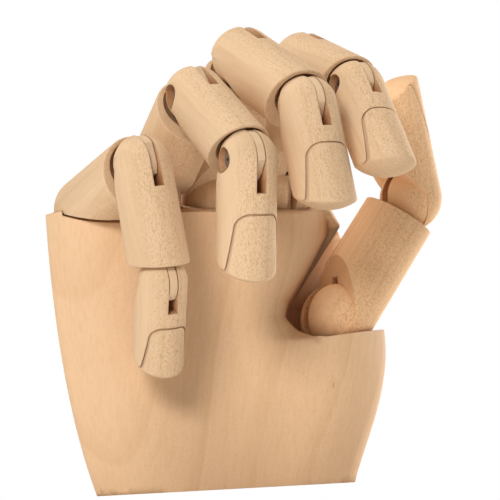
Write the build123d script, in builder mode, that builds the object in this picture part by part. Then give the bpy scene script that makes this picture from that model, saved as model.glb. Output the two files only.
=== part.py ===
from build123d import *
import os
from collections import namedtuple
from math import cos, radians, sin, tan

# A jointed wooden right hand that stands on its wrist.
# +Z is up, the palm faces -Y, the thumb is at +X, and the origin is the middle of the base.

os.makedirs("parts", exist_ok=True)

# Clearances
socket_gap = 0.35
slide_gap = 0.25
pin_gap = 0.05
glue_gap = 0.05

# Tongues, slots and mortises; the shares are of the knuckle's radius
tongue_thickness = 1.8
tongue_half_width_share = 0.55
tongue_reach_share = 0.82
tongue_crown_share = 0.95
thumb_crown_shares = (tongue_reach_share, tongue_crown_share)
slot_width = tongue_thickness + 2 * slide_gap
slot_share = 0.89
tip_slot_share = 1.04
mortise_depth = 4.5

# Pivot screws
shank_diameter = 2.4
pin_hole_diameter = shank_diameter + 2 * pin_gap
head_diameter = 4.6
head_height = 1.4
head_edge_round = 0.5
recess_length = 2.6
recess_width = 0.7
recess_depth = 0.8
counterbore_diameter = 5.4
under_head = 1.6
head_seat = slot_width / 2 + under_head
far_cheek_bite = 2.4
screw_end = slot_width / 2 + far_cheek_bite

# Knuckle shape shared by all segments
shoulder_angle = 62.0
thumb_shoulder_angle = 54.0
relief = 0.35
relief_skin = 0.05
relief_tilt = 45.0
rim_drop_share = 0.575
rim_tilt = 15.5
rim_roll = 0.0
thumb_rim_drop_share = 0.62
thumb_rim_tilt = 8.0
thumb_rim_roll = 13.0
rim_edge_round = 0.3

# Finger tips and nails
tip_dome_share = 1.62
tip_crest_share = 0.6
tip_edge_round = 0.9
nail_start_share = 0.43
nail_root_share = 0.76
nail_end_share = 1.10
nail_corner_share = 0.45
nail_groove_width = 0.4
nail_groove_depth = 0.4

# Fingers: place of the knuckle hinge, sideways spread, side of the screw heads (-1 away from
# the thumb), and for each of the three segments the bend at its base, the length from hinge
# to hinge and the radius at the hinge; the first two also have a radius at their rim
Finger = namedtuple("Finger", "base splay heads bends lengths radii rims")
knuckle_height = 64.4
knuckle_lip_angle = 21.5
fingers = {
    "pinky": Finger(
        base=(-25.4, 1.2, 61.9),
        splay=-6.0,
        heads=1,
        bends=(77.2, 99.2, 26.0),
        lengths=(28.2, 24.6, 20.0),
        radii=(7.0, 6.3, 5.4),
        rims=(7.1, 6.55),
    ),
    "ring": Finger(
        base=(-10.4, 0.0, knuckle_height),
        splay=-1.8,
        heads=-1,
        bends=(52.0, 77.0, 62.0),
        lengths=(30.2, 25.1, 25.0),
        radii=(7.4, 6.6, 6.3),
        rims=(7.45, 6.9),
    ),
    "middle": Finger(
        base=(5.9, 0.0, knuckle_height),
        splay=-0.6,
        heads=1,
        bends=(30.0, 89.0, 47.0),
        lengths=(32.6, 28.6, 23.9),
        radii=(7.5, 7.1, 6.5),
        rims=(7.8, 7.4),
    ),
    "index": Finger(
        base=(22.2, 0.0, knuckle_height),
        splay=5.3,
        heads=-1,
        bends=(18.0, 95.0, 32.0),
        lengths=(30.8, 24.5, 25.4),
        radii=(7.3, 6.7, 6.3),
        rims=(7.5, 7.0),
    ),
}
segment_names = ("proximal", "middle", "distal")

# Thumb: two segments whose hinges run from front to back
thumb_base = (31.7, -6.0, 36.7)
thumb_seat_tilt = 20.0
thumb_heads = -1
thumb_bends = (-18.5, 48.5)
thumb_lengths = (34.5, 27.6)
thumb_radii = (8.4, 7.4)
thumb_rim = 8.2
thumb_outer_bend = -38.0

# Palm sections from the base up: height, ulnar edge, thumb edge and its depth, front in the
# middle, front of the thumb ball, back
Section = namedtuple("Section", "z left right edge front ball back")
palm_sections = (
    Section(0.0, -25.0, 36.0, -1.9, -13.0, -12.5, 12.0),
    Section(18.0, -29.5, 43.0, -2.3, -12.0, -15.5, 12.5),
    Section(34.0, -31.8, 45.0, -2.5, -11.0, -16.5, 12.5),
    Section(50.0, -33.2, 42.0, 2.0, -10.5, -12.5, 12.0),
    Section(70.0, -33.8, 32.4, 3.0, -10.0, -9.5, 11.5),
)
ulnar_edge_share = 0.1
ulnar_front_width_share = 0.10
ulnar_front_share = 0.84
front_shift_share = 0.05
ball_width_share = 0.2
back_corner_width_share = 0.16
back_corner_share = 0.85

# Palm rim, level from side to side in the middle and falling towards both ends
palm_rim_drop = 4.3
palm_rim_height = knuckle_height - palm_rim_drop
palm_rim_front = -10.0
palm_rim_tilt = 13.5
rim_end_rise = 3.4
rim_end_slope = 15.0
rim_left_x = -24.0
rim_right_x = 27.0

# Notch in the palm for the thumb, cut along a slant from the front to the back
notch_turn = 20.0
notch_wall_tilt = 34.5
notch_wall_gap = 0.9
notch_corner_round = 5.0
ledge_height = 32.5
ledge_slope = 6.0
notch_back_gap = 0.9
back_edge_x = 40.0
driver_hole_diameter = 6.0

far = 120.0
wide = 4 * far


def side_profile(points):
    """A polygon in the plane across the hinge, in (y, z)."""
    with BuildSketch(Plane.YZ) as profile:
        with BuildLine():
            Polyline(*points, close=True)
        make_face()
    return profile.sketch


def disc(x, diameter):
    """A round face across the hinge at a place along it."""
    with BuildSketch(Plane.YZ.offset(x)) as face:
        Circle(diameter / 2)
    return face.sketch


def carve_base(radius, shoulder, slot_end, heads):
    """Cut the hinge end of a segment: palmar shoulder, slot, screw seat."""
    slope = tan(radians(shoulder))
    reach = 2 * radius
    wedge = side_profile([(0, 0), (-reach, reach * slope), (-reach, -reach), (0, -reach)])
    extrude(wedge, amount=reach, both=True, mode=Mode.SUBTRACT)
    shift = relief * sin(radians(relief_tilt))
    with Locations((0, shift, -shift)):
        Sphere(radius - relief - relief_skin)
    with Locations((0, 0, slot_end)):
        Box(slot_width, far, far, align=(Align.CENTER, Align.CENTER, Align.MAX), mode=Mode.SUBTRACT)
    seat = heads * head_seat
    extrude(disc(seat, counterbore_diameter), amount=heads * reach, mode=Mode.SUBTRACT)
    hole_length = head_seat + screw_end + pin_gap
    extrude(disc(seat, pin_hole_diameter), amount=-heads * hole_length, mode=Mode.SUBTRACT)


def carve_socket(at, next_radius):
    """Cut the cup and the mortise for the next knuckle, centred on a location."""
    with Locations(at):
        Sphere(next_radius + socket_gap, mode=Mode.SUBTRACT)
        Box(
            tongue_thickness + 2 * glue_gap,
            stem_width(next_radius) + 2 * glue_gap,
            stem_length(next_radius) + glue_gap,
            align=(Align.CENTER, Align.CENTER, Align.MAX),
            mode=Mode.SUBTRACT,
        )


def stem_width(knuckle_radius):
    return 2 * tongue_half_width_share * knuckle_radius


def stem_length(knuckle_radius):
    return knuckle_radius + socket_gap + mortise_depth


def make_segment(radius, rim_radius, length, next_radius, heads, shoulder, drop_share, tilt, roll):
    """A segment with a knuckle at the origin and a socket at its far end."""
    with BuildPart() as segment:
        with BuildSketch(Plane.XY):
            Circle(radius)
        with BuildSketch(Plane.XY.offset(length)):
            Circle(rim_radius)
        loft()
        Sphere(radius)
        with Locations(Location((0, 0, length - drop_share * rim_radius), (tilt, roll, 0))):
            Box(far, far, far, align=(Align.CENTER, Align.CENTER, Align.MIN), mode=Mode.SUBTRACT)
        rim_edge = segment.edges().sort_by(Axis.Z)[-1]
        fillet(rim_edge, rim_edge_round)
        carve_base(radius, shoulder, slot_share * radius, heads)
        carve_socket(Location((0, 0, length)), next_radius)
    return segment.part


def make_nail_groove(radius, length):
    """The thin band that is cut around a nail."""
    root = nail_root_share * radius
    end = nail_end_share * radius
    start = nail_start_share * length
    beyond = length + radius
    with BuildPart() as groove:
        with BuildSketch(Plane.XZ) as band:
            with BuildLine():
                Polyline((-end, beyond), (-root, start), (root, start), (end, beyond), close=True)
            make_face()
            fillet(band.vertices().sort_by(Axis.Y)[:2], nail_corner_share * radius)
            offset(amount=-nail_groove_width, mode=Mode.SUBTRACT)
        extrude(amount=-2 * radius)
        with Locations((0, 0, length / 2)):
            Cylinder(radius - nail_groove_depth, 2 * length, mode=Mode.SUBTRACT)
    return groove.part


def make_tip(radius, length, heads, shoulder):
    """The last segment of a finger: straight back, domed pad, nail."""
    groove = make_nail_groove(radius, length)
    dome = tip_dome_share * radius
    with BuildPart() as dome_end:
        with Locations((0, tip_crest_share * radius, length - dome)):
            Sphere(dome, rotation=(0, 90, 0))
            Box(far, far, far, align=(Align.CENTER, Align.CENTER, Align.MAX))
    with BuildPart() as tip:
        Cylinder(radius, length, rotation=(0, 0, 90), align=(Align.CENTER, Align.CENTER, Align.MIN))
        add(dome_end.part, mode=Mode.INTERSECT)
        tip_edge = tip.edges().sort_by(Axis.Z)[-1]
        fillet(tip_edge, tip_edge_round)
        Sphere(radius)
        carve_base(radius, shoulder, tip_slot_share * radius, heads)
        add(groove, mode=Mode.SUBTRACT)
    return tip.part


def make_tongue(knuckle_radius, crown_share):
    """A flat tongue with a crown on the back, a low front and a stem for the mortise."""
    half_width = tongue_half_width_share * knuckle_radius
    reach = tongue_reach_share * knuckle_radius
    with BuildPart() as tongue:
        with BuildSketch(Plane.YZ):
            Circle(crown_share * knuckle_radius)
            Rectangle(far, far, align=(Align.MAX, Align.CENTER), mode=Mode.SUBTRACT)
            Circle(reach)
            with Locations((0, reach)):
                Rectangle(far, far, align=(Align.CENTER, Align.MIN), mode=Mode.SUBTRACT)
            with Locations((-half_width, 0)):
                Rectangle(far, far, align=(Align.MAX, Align.CENTER), mode=Mode.SUBTRACT)
            Rectangle(
                stem_width(knuckle_radius),
                stem_length(knuckle_radius),
                align=(Align.CENTER, Align.MAX),
            )
            Circle(pin_hole_diameter / 2, mode=Mode.SUBTRACT)
        extrude(amount=tongue_thickness / 2, both=True)
    return tongue.part


def make_screw():
    """A round-headed screw along the hinge, head on the +X side."""
    with BuildPart() as screw:
        extrude(disc(head_seat, head_diameter), amount=head_height)
        fillet(screw.edges().group_by(Axis.X)[-1], head_edge_round)
        with BuildSketch(Plane.YZ.offset(head_seat + head_height)):
            Rectangle(recess_length, recess_width)
            Rectangle(recess_width, recess_length)
        extrude(amount=-recess_depth, mode=Mode.SUBTRACT)
        extrude(disc(head_seat, shank_diameter), amount=-head_seat - screw_end)
    return screw.part


def bent(seat, angle):
    """The plane of a segment that is bent towards the palm side of its seat."""
    return Plane(seat.location * Rotation(angle, 0, 0))


def screw_place(hinge, heads):
    """The plane that turns a screw's head to the chosen side of a hinge."""
    return Plane(hinge.location * Rotation(0, 0, 90 - 90 * heads))


def save(part, plane, label):
    """Put a part in its place on the hand and write it."""
    placed = part.moved(plane.location)
    placed.label = label
    export_step(placed, f"parts/{label}.step")


def section_outline(section):
    """An oval palm section through eight points."""
    width = section.right - section.left
    middle = (section.left + section.right) / 2
    corner = back_corner_width_share * width
    Spline(
        (section.left, ulnar_edge_share * section.back),
        (section.left + ulnar_front_width_share * width, ulnar_front_share * section.front),
        (middle - front_shift_share * width, section.front),
        (section.right - ball_width_share * width, section.ball),
        (section.right, section.edge),
        (section.right - corner, back_corner_share * section.back),
        (middle, section.back),
        (section.left + corner, back_corner_share * section.back),
        periodic=True,
    )


# Hinge planes: X along the hinge, Z along the segment, -Y to the palm side
finger_seats = {}
for name, finger in fingers.items():
    lean = radians(finger.splay)
    finger_seats[name] = Plane(
        finger.base,
        x_dir=(cos(lean), 0, -sin(lean)),
        z_dir=(sin(lean), 0, cos(lean)),
    )
thumb_lean = radians(thumb_seat_tilt)
thumb_seat = Plane(thumb_base, x_dir=(0, -1, 0), z_dir=(sin(thumb_lean), 0, cos(thumb_lean)))

# Thumb notch: a slanting pocket in front of a web that stays behind the thumb
turn = radians(notch_turn)
notch_plane = Plane(
    (thumb_base[0], thumb_base[1], 0),
    x_dir=(cos(turn), -sin(turn), 0),
    z_dir=(-sin(turn), -cos(turn), 0),
)
wall_lean = tan(radians(notch_wall_tilt))
wall_distance = (thumb_radii[0] + notch_wall_gap) / cos(radians(notch_wall_tilt))
wall_top = (far - thumb_base[2]) * wall_lean - wall_distance
ledge_lean = tan(radians(ledge_slope))
wall_foot = ((ledge_height - thumb_base[2]) * wall_lean - wall_distance) / (1 - wall_lean * ledge_lean)
ledge_foot = ledge_height + wall_foot * ledge_lean
ledge_end = ledge_height + far * ledge_lean
web_front = thumb_base[1] + thumb_radii[0] + notch_back_gap
with BuildPart() as notch:
    with BuildSketch(notch_plane) as notch_face:
        with BuildLine():
            Polyline((wall_foot, ledge_foot), (far, ledge_end), (far, far), (wall_top, far), close=True)
        make_face()
        inner_corner = notch_face.vertices().sort_by(Axis.X)[0]
        fillet(inner_corner, notch_corner_round)
    extrude(amount=far, both=True)
    with Locations((back_edge_x, web_front, 0)):
        Box(wide, wide, wide, align=(Align.MAX, Align.MIN, Align.CENTER), mode=Mode.SUBTRACT)

# Room in front of each knuckle for the bent finger
lip_fall = far * tan(radians(knuckle_lip_angle))
lip_wedge = side_profile([(0, 0), (-far, -lip_fall), (-far, far), (0, far)])

# Palm block
with BuildPart() as palm:
    for section in palm_sections:
        with BuildSketch(Plane.XY.offset(section.z)):
            with BuildLine():
                section_outline(section)
            make_face()
    loft()
    with Locations(Location((0, palm_rim_front, palm_rim_height), (palm_rim_tilt, 0, 0))):
        Box(far, far, far, align=(Align.CENTER, Align.CENTER, Align.MIN), mode=Mode.SUBTRACT)
    for x, slope in ((rim_left_x, -rim_end_slope), (rim_right_x, rim_end_slope)):
        with Locations(Location((x, 0, palm_rim_height + rim_end_rise), (0, slope, 0))):
            Box(far, far, far, align=(Align.CENTER, Align.CENTER, Align.MIN), mode=Mode.SUBTRACT)
    add(notch.part, mode=Mode.SUBTRACT)
    for name, finger in fingers.items():
        carve_socket(finger_seats[name].location, finger.radii[0])
        lip_width = finger.radii[0] + socket_gap
        lip_cut = extrude(lip_wedge, amount=lip_width, both=True, mode=Mode.PRIVATE)
        add(lip_cut.moved(finger_seats[name].location), mode=Mode.SUBTRACT)
    carve_socket(thumb_seat.location, thumb_radii[0])
    with Locations(bent(thumb_seat, thumb_outer_bend).location):
        Cylinder(
            thumb_radii[0] + socket_gap,
            far,
            align=(Align.CENTER, Align.CENTER, Align.MIN),
            mode=Mode.SUBTRACT,
        )
    with BuildSketch(Plane.XZ.offset(-thumb_base[1])):
        with Locations((thumb_base[0], thumb_base[2])):
            Circle(driver_hole_diameter / 2)
    extrude(amount=-far, mode=Mode.SUBTRACT)
palm.part.label = "palm"
export_step(palm.part, "parts/palm.step")

# Fingers
screw = make_screw()
for name, finger in fingers.items():
    seat = finger_seats[name]
    for i, segment_name in enumerate(segment_names):
        radius = finger.radii[i]
        length = finger.lengths[i]
        hinge = bent(seat, finger.bends[i])
        label = f"{name}_{segment_name}"
        if i < 2:
            piece = make_segment(
                radius,
                finger.rims[i],
                length,
                finger.radii[i + 1],
                finger.heads,
                shoulder_angle,
                rim_drop_share,
                rim_tilt,
                rim_roll,
            )
        else:
            piece = make_tip(radius, length, finger.heads, shoulder_angle)
        save(piece, hinge, label)
        save(make_tongue(radius, tongue_crown_share), seat, f"{label}_tongue")
        save(screw, screw_place(hinge, finger.heads), f"{label}_screw")
        seat = hinge.offset(length)

# Thumb
seat = thumb_seat
for i, segment_name in enumerate(("proximal", "distal")):
    radius = thumb_radii[i]
    length = thumb_lengths[i]
    hinge = bent(seat, thumb_bends[i])
    label = f"thumb_{segment_name}"
    if i == 0:
        piece = make_segment(
            radius,
            thumb_rim,
            length,
            thumb_radii[1],
            thumb_heads,
            thumb_shoulder_angle,
            thumb_rim_drop_share,
            thumb_rim_tilt,
            thumb_rim_roll,
        )
    else:
        piece = make_tip(radius, length, thumb_heads, thumb_shoulder_angle)
    save(piece, hinge, label)
    save(make_tongue(radius, thumb_crown_shares[i]), seat, f"{label}_tongue")
    save(screw, screw_place(hinge, thumb_heads), f"{label}_screw")
    seat = hinge.offset(length)
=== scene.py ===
import math
from collections import namedtuple

import bmesh
import bpy
import numpy as np
from mathutils import Matrix, Vector


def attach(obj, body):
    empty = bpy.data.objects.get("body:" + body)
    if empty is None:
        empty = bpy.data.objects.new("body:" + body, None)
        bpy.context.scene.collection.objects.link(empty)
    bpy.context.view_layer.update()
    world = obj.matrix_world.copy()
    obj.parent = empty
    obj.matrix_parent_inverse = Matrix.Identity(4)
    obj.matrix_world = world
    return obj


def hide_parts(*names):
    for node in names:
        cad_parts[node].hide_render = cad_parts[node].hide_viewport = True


# Looks of a jointed wooden hand: pale sanded wood with its own grain on every piece, a palm
# carved hollow beside the thumb, plain steel screws, a white floor and soft studio light.

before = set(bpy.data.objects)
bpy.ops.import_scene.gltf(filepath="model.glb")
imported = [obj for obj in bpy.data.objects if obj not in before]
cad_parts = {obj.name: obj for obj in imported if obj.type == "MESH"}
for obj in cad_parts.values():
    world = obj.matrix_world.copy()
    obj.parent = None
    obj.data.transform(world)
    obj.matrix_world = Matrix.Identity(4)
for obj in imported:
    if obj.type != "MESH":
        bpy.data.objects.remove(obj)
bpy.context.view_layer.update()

MM = 0.001

# Camera, as fitted to the photograph
IMAGE_SIZE = 500
SENSOR = 36.0
FOCAL_PIXELS = 2878.0
VIEW_AZIMUTH = -30.04
VIEW_DISTANCE = 639.4 * MM
VIEW_TARGET = Vector((14.09, 0.0, 52.63)) * MM
VIEW_ROLL = -0.0546
EYE_HEIGHT = 0.0
CLIP_NEAR = 0.01
CLIP_FAR = 20.0

# Woods: tone in sRGB bytes, strength and spacing (mm) of the rings, strength of the flecks
Wood = namedtuple("Wood", "tone rings spacing flecks")
FINGER_WOOD = Wood((219, 187, 151), rings=0.20, spacing=3.0, flecks=1.0)
THUMB_WOOD = Wood((238, 196, 152), rings=0.20, spacing=3.0, flecks=1.0)
PALM_WOOD = Wood((224, 187, 148), rings=0.22, spacing=12.0, flecks=0.25)
TONGUE_WOOD = Wood((224, 193, 158), rings=0.15, spacing=2.0, flecks=0.4)
PALM_GRAIN = (0.22, 0.12, 1.0)
PALM_FACE = (0, 1, 0)
TONGUE_FACE = (1, 0, 0)
THUMB_FACE = (0, -1, 0)
FINGER_HINGE = (1, 0, 0)

# Grain noises: stretch along the grain, scale in 1/mm, detail, roughness
BROAD_NOISE = (0.3, 0.05, 2.0, 0.5)
FIBRE_NOISE = (0.06, 1.3, 4.0, 0.62)
FLECK_NOISE = (0.4, 4.2, 1.5, 0.5)
SPECK_NOISE = (1.0, 4.5, 2.0, 0.6)
DASH_STRETCH = 0.3
DASH_SCALE = 0.075
RING_STRETCH = 0.1
RING_WAVER = {"Distortion": 2.2, "Detail": 2.0, "Detail_Scale": 0.6, "Detail_Roughness": 0.5}
WAVE_STEP = 20.0
BLANK_STEP = (31.7, 17.3, 53.9)

# Ramps of the wood: place, then a grey or a colour
RING_RAMP = ((0.0, 0.0), (0.70, 0.10), (0.96, 1.0), (1.0, 0.0))
FIBRE_RAMP = ((0.32, (0.97, 0.94, 0.90, 1.0)), (0.52, 1.0), (0.74, 1.03))
FLECK_RAMP = ((0.50, 0.0), (0.64, 0.8))
SPECK_RAMP = ((0.40, 0.15), (0.62, 0.85))
DASH_RAMP = ((0.018, 0.5), (0.034, 0.0))
FLAT_SAWN_RAMP = ((0.50, 0.1), (0.95, 1.0))
END_GRAIN_RAMP = ((0.55, 0.0), (0.95, 1.0))
# Paler edges: partly sanded wear, partly a painted highlight where rounded edges catch the light
EDGE_SANDING_AND_HIGHLIGHT_RAMP = ((0.88, 0.6), (0.99, 0.0))
# Painted shade: brown mixed into narrow gaps and crevices between pieces, where shade falls
GAP_SHADE_RAMP = ((0.05, 0.60), (0.25, 0.30), (0.60, 0.0))
# Painted shade: warm darkening multiplied in where a piece's own hollow closes round a place
HOLLOW_SHADE_RAMP = ((0.15, (0.50, 0.27, 0.15, 1.0)), (0.55, (0.82, 0.62, 0.47, 1.0)), (0.85, 1.0))
GLOSS_RAMP = ((0.3, 0.80), (0.7, 0.68))
PORE_RAMP = ((0.55, 1.0), (0.72, 0.0))

# Tones of the marks beside the wood's own: factor and warmth
BROAD_TONES = ((0.30, (0.965, 1.1)), (0.50, (1.0, 1.0)), (0.72, (1.015, 0.9)))
RING_TONE = (0.88, 1.5)
FLECK_TONE = (0.88, 1.45)
END_TONE = (0.86, 1.15)
DASH_TONE = (0.62, 1.2)
# Tone of the paler edges: sanded wear and a painted highlight
EDGE_SANDING_AND_HIGHLIGHT_TONE = (1.06, 0.8)
# Brown of the painted shade in gaps
GAP_SHADE_BROWN = (168, 104, 60)

# Surface of the wood
# Reach of the painted shade in narrow gaps
GAP_SHADE_REACH = 2.5 * MM
# Reach of the painted warm shade inside a piece's own hollow
HOLLOW_SHADE_REACH = 35.0 * MM
SHADE_SAMPLES = 8
EDGE_ROUND = 0.3 * MM
EDGE_SAMPLES = 4
PORE_SHARE = 0.5
WOOD_BUMP = {"Strength": 0.25, "Distance": 0.05 * MM}
WOOD_SPECULAR = 0.06

# Screw steel
STEEL = (168, 164, 158)
STEEL_NOISE = {"Scale": 900.0, "Detail": 3.0, "Roughness": 0.6}
STEEL_TONES = ((0.3, 0.72), (0.7, 1.1))
STEEL_GLOSS = ((0.3, 0.42), (0.7, 0.26))
STEEL_BUMP = {"Strength": 0.2, "Distance": 0.03 * MM}

# Roll of the palm's front (mm): height, where the roll starts, hollow's edge, depth at the edge
ROLL_LINES = (
    (31.5, 6.0, 19.5, 0.0),
    (32.5, 6.0, 19.3, 2.6),
    (34.0, 6.0, 18.8, 5.3),
    (37.0, 6.0, 17.9, 8.0),
    (40.0, 6.0, 18.9, 8.6),
    (43.0, 6.5, 21.0, 8.6),
    (46.0, 7.5, 23.5, 8.4),
    (49.0, 8.5, 26.2, 8.0),
    (52.0, 9.5, 29.2, 7.2),
    (55.0, 11.0, 32.6, 5.4),
    (58.0, 13.0, 34.5, 3.6),
    (60.5, 15.0, 36.0, 2.0),
)
ROLL_SIDE = 5.0
NOTCH_FOOT = 19.4
NOTCH_LEAN = 0.731

# The palm's front: the most that a face's normal may turn, and where the face lies (mm)
FRONT_TURN = (0.6, -0.25, 0.7)
FRONT_PLACE = -4.0

# Mesh of the carved palm
FACET = 1.1 * MM
FACET_ROUNDS = 8
WELD = 0.001 * MM
SHARP_ANGLE = math.radians(32)

# Floor
FLOOR_DROP = 0.05 * MM
FLOOR_HALF = 4.0
FLOOR_CORNERS = ((-1, -1), (1, -1), (1, 1), (-1, 1))
FLOOR_NOISE = {"Scale": 40.0, "Detail": 2.0}
FLOOR_TONES = ((0.3, 0.93), (0.7, 0.96))
FLOOR_ROUGHNESS = 0.9
SHADOW_NEAR = 0.12
SHADOW_FAR = 0.45

# Light: place and width of each lamp in metres, and its watts
LIT_POINT = Vector((0.0, -0.01, 0.055))
LAMPS = {
    "key": ((-0.64, -0.68, 0.40), 0.3, 6.2),
    "left": ((-0.72, 0.58, 0.45), 0.6, 2.7),
    "right": ((0.92, 0.30, 0.18), 0.6, 10.0),
    "top": ((0.10, 0.10, 1.00), 0.6, 5.8),
}
AMBIENT_COLOUR = (1.0, 0.86, 0.70, 1.0)
AMBIENT_STRENGTH = 0.10
WHITE = (1.0, 1.0, 1.0, 1.0)


def linear(rgb):
    """A colour written in sRGB bytes, in Blender's linear values."""
    values = []
    for byte in rgb:
        c = byte / 255
        values.append(c / 12.92 if c <= 0.04045 else ((c + 0.055) / 1.055) ** 2.4)
    return (*values, 1.0)


def shade(rgb, factor, warmth=1.0):
    """A darker or paler neighbour of a colour; warmth above 1 takes out blue first."""
    return (rgb[0] * factor, rgb[1] * factor**warmth, rgb[2] * factor ** (warmth * warmth))


def scaled(ramp, factor):
    """A ramp of greys with every grey times a factor."""
    return [(place, grey * factor) for place, grey in ramp]


# Node trees
class Nodes:
    """Short hand for building a node tree."""

    def __init__(self, tree):
        self.tree = tree
        tree.nodes.clear()

    def feed(self, socket, value):
        """Link an output to a socket, or set the socket's own value."""
        if hasattr(value, "is_output"):
            self.tree.links.new(value, socket)
        else:
            socket.default_value = value

    def add(self, kind, settings=None, **inputs):
        """A node with its settings and inputs; an input's name has _ for each space."""
        node = self.tree.nodes.new(kind)
        for key, value in (settings or {}).items():
            setattr(node, key, value)
        for key, value in inputs.items():
            self.feed(node.inputs[key.replace("_", " ")], value)
        return node

    def operate(self, kind, operation, *values, clamp=False):
        """A math or vector math node, fed in the order of its sockets."""
        node = self.add(kind, {"operation": operation})
        if clamp:
            node.use_clamp = True
        for socket, value in zip(node.inputs, values):
            self.feed(socket, value)
        return node.outputs["Value"]

    def math(self, operation, *values, clamp=False):
        return self.operate("ShaderNodeMath", operation, *values, clamp=clamp)

    def vector_math(self, operation, *values):
        return self.operate("ShaderNodeVectorMath", operation, *values)

    def ramp(self, factor, stops):
        """A colour ramp; a stop's colour may be a plain grey."""
        node = self.add("ShaderNodeValToRGB", Fac=factor)
        elements = node.color_ramp.elements
        while len(elements) < len(stops):
            elements.new(0.5)
        for element, (place, colour) in zip(elements, stops):
            element.position = place
            element.color = colour if isinstance(colour, tuple) else (colour, colour, colour, 1.0)
        return node.outputs["Color"]

    def mix(self, blend, factor, a, b):
        """Two colours mixed; the node's colour sockets are known by number only."""
        node = self.add("ShaderNodeMix", {"data_type": "RGBA", "blend_type": blend})
        for number, value in ((0, factor), (6, a), (7, b)):
            self.feed(node.inputs[number], value)
        return node.outputs[2]

    def mix_shader(self, factor, first, second):
        node = self.add("ShaderNodeMixShader")
        for socket, value in zip(node.inputs, (factor, first, second)):
            self.feed(socket, value)
        return node.outputs["Shader"]

    def parallel(self, a, b):
        """How squarely two directions line up, either way."""
        return self.math("ABSOLUTE", self.vector_math("DOT_PRODUCT", a, b))

    def facing(self, normal, direction, stops):
        """A ramp by how squarely a surface looks along a direction, either way."""
        return self.ramp(self.parallel(normal, tuple(Vector(direction).normalized())), stops)

    def openness(self, reach, **settings):
        """How open a place is within a reach."""
        settings["samples"] = SHADE_SAMPLES
        return self.add("ShaderNodeAmbientOcclusion", settings, Distance=reach).outputs["AO"]

    def background_rays(self):
        """1 for the rays that see the background: camera, glossy and transmission rays."""
        path = self.add("ShaderNodeLightPath")
        share = path.outputs["Is Camera Ray"]
        for kind in ("Is Glossy Ray", "Is Transmission Ray"):
            share = self.math("MAXIMUM", share, path.outputs[kind])
        return share

    def finish(self, shader, kind="ShaderNodeOutputMaterial"):
        self.add(kind, Surface=shader)


def new_material(name):
    material = bpy.data.materials.new(name)
    material.use_nodes = True
    return material, Nodes(material.node_tree)


def link_object(name, data):
    """A new object in the scene."""
    obj = bpy.data.objects.new(name, data)
    bpy.context.scene.collection.objects.link(obj)
    return obj


# Wood
def grain_space(nodes, direction, seed):
    """Coordinates in millimetres whose Z runs along the grain of a piece."""
    turn = Vector(direction).rotation_difference(Vector((0, 0, 1))).to_euler()
    mapping = nodes.add(
        "ShaderNodeMapping",
        Vector=nodes.add("ShaderNodeTexCoord").outputs["Object"],
        Scale=(1 / MM, 1 / MM, 1 / MM),
        Rotation=turn,
        Location=tuple(step * seed for step in BLANK_STEP),
    )
    return mapping.outputs["Vector"]


def stretched(nodes, space, along):
    """The grain coordinates, drawn out along the grain."""
    if along == 1:
        return space
    return nodes.add("ShaderNodeMapping", Vector=space, Scale=(1, 1, along)).outputs["Vector"]


def grain_noise(nodes, space, along, scale, detail, roughness):
    node = nodes.add(
        "ShaderNodeTexNoise",
        Vector=stretched(nodes, space, along),
        Scale=scale,
        Detail=detail,
        Roughness=roughness,
    )
    return node.outputs["Fac"]


def growth_rings(nodes, space, spacing):
    node = nodes.add(
        "ShaderNodeTexWave",
        {"wave_type": "RINGS", "rings_direction": "Z", "wave_profile": "SAW"},
        Vector=stretched(nodes, space, RING_STRETCH),
        Scale=2 * math.pi / (WAVE_STEP * spacing),
        **RING_WAVER,
    )
    return node.outputs["Fac"]


def grain_dashes(nodes, space):
    node = nodes.add(
        "ShaderNodeTexVoronoi", Vector=stretched(nodes, space, DASH_STRETCH), Scale=DASH_SCALE
    )
    return node.outputs["Distance"]


def sanding_and_painted_light(nodes, colour, tone, soft_normal):
    """The wood's colour with paler sanded edges that also carry a painted highlight, painted
    brown shade in gaps and painted warm shade inside a hollow.
    """
    true_normal = nodes.add("ShaderNodeNewGeometry").outputs["Normal"]
    # Paler edges: sanded wear with a painted highlight along them, found from the rounded normal
    # against the true one
    edge_sanding_and_highlight_mask = nodes.ramp(nodes.parallel(soft_normal, true_normal), EDGE_SANDING_AND_HIGHLIGHT_RAMP)
    colour = nodes.mix("MIX", edge_sanding_and_highlight_mask, colour, linear(shade(tone, *EDGE_SANDING_AND_HIGHLIGHT_TONE)))
    # Painted shade: narrow gaps and crevices darkened to brown by how closed they are
    narrow = nodes.openness(GAP_SHADE_REACH)
    colour = nodes.mix("MIX", nodes.ramp(narrow, GAP_SHADE_RAMP), colour, linear(GAP_SHADE_BROWN))
    # Painted shade: warm darkening deep inside the piece's own hollow, beyond what the gaps give
    wide = nodes.openness(HOLLOW_SHADE_REACH, only_local=True)
    open_share = nodes.math("DIVIDE", wide, narrow, clamp=True)
    return nodes.mix("MULTIPLY", 1.0, colour, nodes.ramp(open_share, HOLLOW_SHADE_RAMP))


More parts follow.
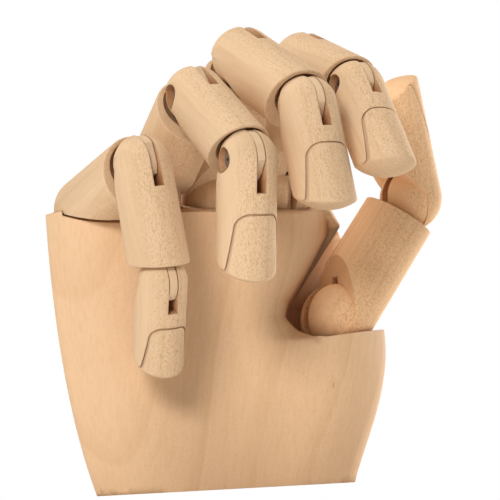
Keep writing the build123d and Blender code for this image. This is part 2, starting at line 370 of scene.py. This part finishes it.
def wood(name, kind, grain, face, seed):
    """Sanded pale wood with rings, fibres, flecks and dashes; face is its flat-sawn side."""
    material, nodes = new_material(name)
    tone = kind.tone
    space = grain_space(nodes, grain, seed)
    fibre = grain_noise(nodes, space, *FIBRE_NOISE)
    fleck = grain_noise(nodes, space, *FLECK_NOISE)
    normal = nodes.add("ShaderNodeTexCoord").outputs["Normal"]

    broad_stops = [(place, linear(shade(tone, *mark))) for place, mark in BROAD_TONES]
    colour = nodes.ramp(grain_noise(nodes, space, *BROAD_NOISE), broad_stops)

    rings = growth_rings(nodes, space, kind.spacing)
    ring_mask = nodes.ramp(rings, scaled(RING_RAMP, kind.rings))
    colour = nodes.mix("MIX", ring_mask, colour, linear(shade(tone, *RING_TONE)))

    fibre_tone = nodes.ramp(fibre, FIBRE_RAMP)
    colour = nodes.mix("MULTIPLY", 1.0, colour, fibre_tone)

    flat_sawn = nodes.facing(normal, face, scaled(FLAT_SAWN_RAMP, kind.flecks))
    fleck_mask = nodes.mix("MULTIPLY", 1.0, nodes.ramp(fleck, FLECK_RAMP), flat_sawn)
    colour = nodes.mix("MIX", fleck_mask, colour, linear(shade(tone, *FLECK_TONE)))

    end_grain = nodes.facing(normal, grain, END_GRAIN_RAMP)
    specks = nodes.ramp(grain_noise(nodes, space, *SPECK_NOISE), SPECK_RAMP)
    end_mask = nodes.mix("MULTIPLY", 1.0, specks, end_grain)
    colour = nodes.mix("MIX", end_mask, colour, linear(shade(tone, *END_TONE)))

    dash_mask = nodes.ramp(grain_dashes(nodes, space), DASH_RAMP)
    colour = nodes.mix("MIX", dash_mask, colour, linear(shade(tone, *DASH_TONE)))

    rounded = nodes.add("ShaderNodeBevel", {"samples": EDGE_SAMPLES}, Radius=EDGE_ROUND)
    soft_normal = rounded.outputs["Normal"]
    height = nodes.mix("MIX", PORE_SHARE, fibre_tone, nodes.ramp(fleck, PORE_RAMP))
    bump = nodes.add("ShaderNodeBump", Height=height, Normal=soft_normal, **WOOD_BUMP)
    # The base colour carries the painted edge highlight and the painted shade in gaps and hollows
    shader = nodes.add(
        "ShaderNodeBsdfPrincipled",
        Base_Color=sanding_and_painted_light(nodes, colour, tone, soft_normal),
        Roughness=nodes.ramp(fibre, GLOSS_RAMP),
        Normal=bump.outputs["Normal"],
        Specular_IOR_Level=WOOD_SPECULAR,
    )
    nodes.finish(shader.outputs["BSDF"])
    return material


# Steel
def steel(name):
    """Zinc-plated screw steel, dulled and finely mottled."""
    material, nodes = new_material(name)
    coords = nodes.add("ShaderNodeTexCoord").outputs["Object"]
    mottle = nodes.add("ShaderNodeTexNoise", Vector=coords, **STEEL_NOISE).outputs["Fac"]
    tones = [(place, linear(shade(STEEL, factor))) for place, factor in STEEL_TONES]
    bump = nodes.add("ShaderNodeBump", Height=mottle, **STEEL_BUMP)
    shader = nodes.add(
        "ShaderNodeBsdfPrincipled",
        Base_Color=nodes.ramp(mottle, tones),
        Roughness=nodes.ramp(mottle, STEEL_GLOSS),
        Normal=bump.outputs["Normal"],
        Metallic=1.0,
    )
    nodes.finish(shader.outputs["BSDF"])
    return material


# Carved palm
def hollow_depth(point):
    """How far back a point of the palm's front goes."""
    heights, *lines = zip(*ROLL_LINES)
    start, edge, deepest = (np.interp(point.z / MM, heights, line) for line in lines)
    across = min(max((point.x / MM - start) / (edge - start), 0.0), 1.0)
    return float(deepest * across**2) * MM


def in_hollow(face):
    """Whether a face is on the palm's front and reaches into the hollow."""
    x, y, z = (np.array([v.co[k] for v in face.verts]) / MM for k in range(3))
    ledge = ROLL_LINES[0][0]
    notch = NOTCH_FOOT + NOTCH_LEAN * (z - ledge)
    turned_front = all(part < most for part, most in zip(face.normal, FRONT_TURN))
    in_front = turned_front and y.mean() < FRONT_PLACE
    return in_front and x.max() > ROLL_SIDE and z.max() > ledge and (x < notch).any()


def hollow_palm():
    """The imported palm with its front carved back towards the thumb."""
    carved = bmesh.new()
    carved.from_mesh(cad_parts["palm"].data)
    bmesh.ops.remove_doubles(carved, verts=carved.verts, dist=WELD)
    for _ in range(FACET_ROUNDS):
        carved.normal_update()
        rolled = [f for f in carved.faces if in_hollow(f)]
        edges = {e for f in rolled for e in f.edges if e.calc_length() > FACET}
        if not edges:
            break
        bmesh.ops.subdivide_edges(carved, edges=list(edges), cuts=1)
        bmesh.ops.triangulate(carved, faces=[f for f in carved.faces if len(f.verts) > 3])
    carved.normal_update()
    front = {v for f in carved.faces if in_hollow(f) for v in f.verts}
    front |= {v for v in carved.verts if all(e.other_vert(v) in front for e in v.link_edges)}
    for v in front:
        v.co.y += hollow_depth(v.co)
    mesh = bpy.data.meshes.new("palm_carved")
    carved.to_mesh(mesh)
    carved.free()
    mesh.shade_smooth()
    mesh.set_sharp_from_angle(angle=SHARP_ANGLE)
    palm = link_object("palm_carved", mesh)
    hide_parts("palm")
    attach(palm, "palm")
    return palm


# Materials of the pieces
def long_axis(obj):
    """The direction in which a piece is longest, read from its mesh."""
    points = np.array([v.co for v in obj.data.vertices])
    points = points - points.mean(axis=0)
    _, vectors = np.linalg.eigh(points.T @ points)
    return vectors[:, -1]


def dress():
    """Every piece of wood is its own blank, so each has its own grain."""
    screw_steel = steel("screw_steel")
    for seed, name in enumerate(sorted(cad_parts), start=1):
        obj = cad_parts[name]
        grain = long_axis(obj)
        if name.endswith("_screw"):
            material = screw_steel
        elif name.endswith("_tongue"):
            material = wood(name, TONGUE_WOOD, grain, TONGUE_FACE, seed)
        elif name == "palm":
            obj = hollow_palm()
            material = wood(name, PALM_WOOD, PALM_GRAIN, PALM_FACE, seed)
        elif name.startswith("thumb"):
            material = wood(name, THUMB_WOOD, grain, THUMB_FACE, seed)
        else:
            face = Vector(FINGER_HINGE).cross(Vector(grain))
            material = wood(name, FINGER_WOOD, grain, face, seed)
        obj.data.materials.clear()
        obj.data.materials.append(material)


# Floor and surroundings
def floor_material():
    """Matt white paper that keeps the shadow near the object and is plain white further out."""
    material, nodes = new_material("floor_white")
    coords = nodes.add("ShaderNodeTexCoord").outputs["Object"]
    mottle = nodes.add("ShaderNodeTexNoise", Vector=coords, **FLOOR_NOISE)
    colour = nodes.ramp(mottle.outputs["Fac"], FLOOR_TONES)
    paper = nodes.add("ShaderNodeBsdfPrincipled", Base_Color=colour, Roughness=FLOOR_ROUGHNESS)
    spread = nodes.add(
        "ShaderNodeMapRange",
        {"interpolation_type": "SMOOTHSTEP"},
        Value=nodes.vector_math("LENGTH", coords),
        From_Min=SHADOW_NEAR,
        From_Max=SHADOW_FAR,
    )
    plain = nodes.math("MULTIPLY", spread.outputs["Result"], nodes.background_rays())
    white = nodes.add("ShaderNodeEmission", Color=WHITE, Strength=1.0)
    surface = nodes.mix_shader(plain, paper.outputs["BSDF"], white.outputs["Emission"])
    nodes.finish(surface)
    return material


def lay_floor():
    mesh = bpy.data.meshes.new("floor")
    corners = [(x * FLOOR_HALF, y * FLOOR_HALF, -FLOOR_DROP) for x, y in FLOOR_CORNERS]
    mesh.from_pydata(corners, [], [(0, 1, 2, 3)])
    floor = link_object("floor", mesh)
    floor.data.materials.append(floor_material())
    floor.visible_shadow = False


def set_world():
    """White to the camera and in reflections, a softer even light on the object."""
    world = bpy.data.worlds.new("studio")
    world.use_nodes = True
    bpy.context.scene.world = world
    nodes = Nodes(world.node_tree)
    light = nodes.add("ShaderNodeBackground", Color=AMBIENT_COLOUR, Strength=AMBIENT_STRENGTH)
    white = nodes.add("ShaderNodeBackground", Color=WHITE, Strength=1.0)
    backgrounds = (light.outputs["Background"], white.outputs["Background"])
    nodes.finish(nodes.mix_shader(nodes.background_rays(), *backgrounds), "ShaderNodeOutputWorld")


def set_lamps():
    for name, (place, width, watts) in LAMPS.items():
        lamp = bpy.data.lights.new(name, "AREA")
        lamp.shape = "DISK"
        lamp.size = width
        lamp.energy = watts
        obj = link_object(name, lamp)
        obj.location = place
        obj.rotation_euler = (LIT_POINT - Vector(place)).to_track_quat("-Z", "Y").to_euler()


def set_camera():
    """The photograph's camera, which stands at EYE_HEIGHT and looks up at VIEW_TARGET."""
    rise = math.asin((EYE_HEIGHT - VIEW_TARGET.z) / VIEW_DISTANCE)
    turn = math.radians(VIEW_AZIMUTH)
    level = math.cos(rise)
    back = Vector((math.sin(turn) * level, -math.cos(turn) * level, math.sin(rise)))
    right = Vector((math.cos(turn), math.sin(turn), 0.0))
    up = back.cross(right)
    c, s = math.cos(VIEW_ROLL), math.sin(VIEW_ROLL)
    axes = Matrix((c * right + s * up, c * up - s * right, back)).transposed()
    camera = bpy.data.cameras.new("camera")
    camera.sensor_width = SENSOR
    camera.lens = FOCAL_PIXELS / IMAGE_SIZE * SENSOR
    camera.clip_start = CLIP_NEAR
    camera.clip_end = CLIP_FAR
    obj = link_object("camera", camera)
    obj.matrix_world = Matrix.Translation(VIEW_TARGET + VIEW_DISTANCE * back) @ axes.to_4x4()
    bpy.context.scene.camera = obj


dress()
lay_floor()
set_world()
set_lamps()
set_camera()
bpy.context.scene.view_settings.view_transform = "Standard"
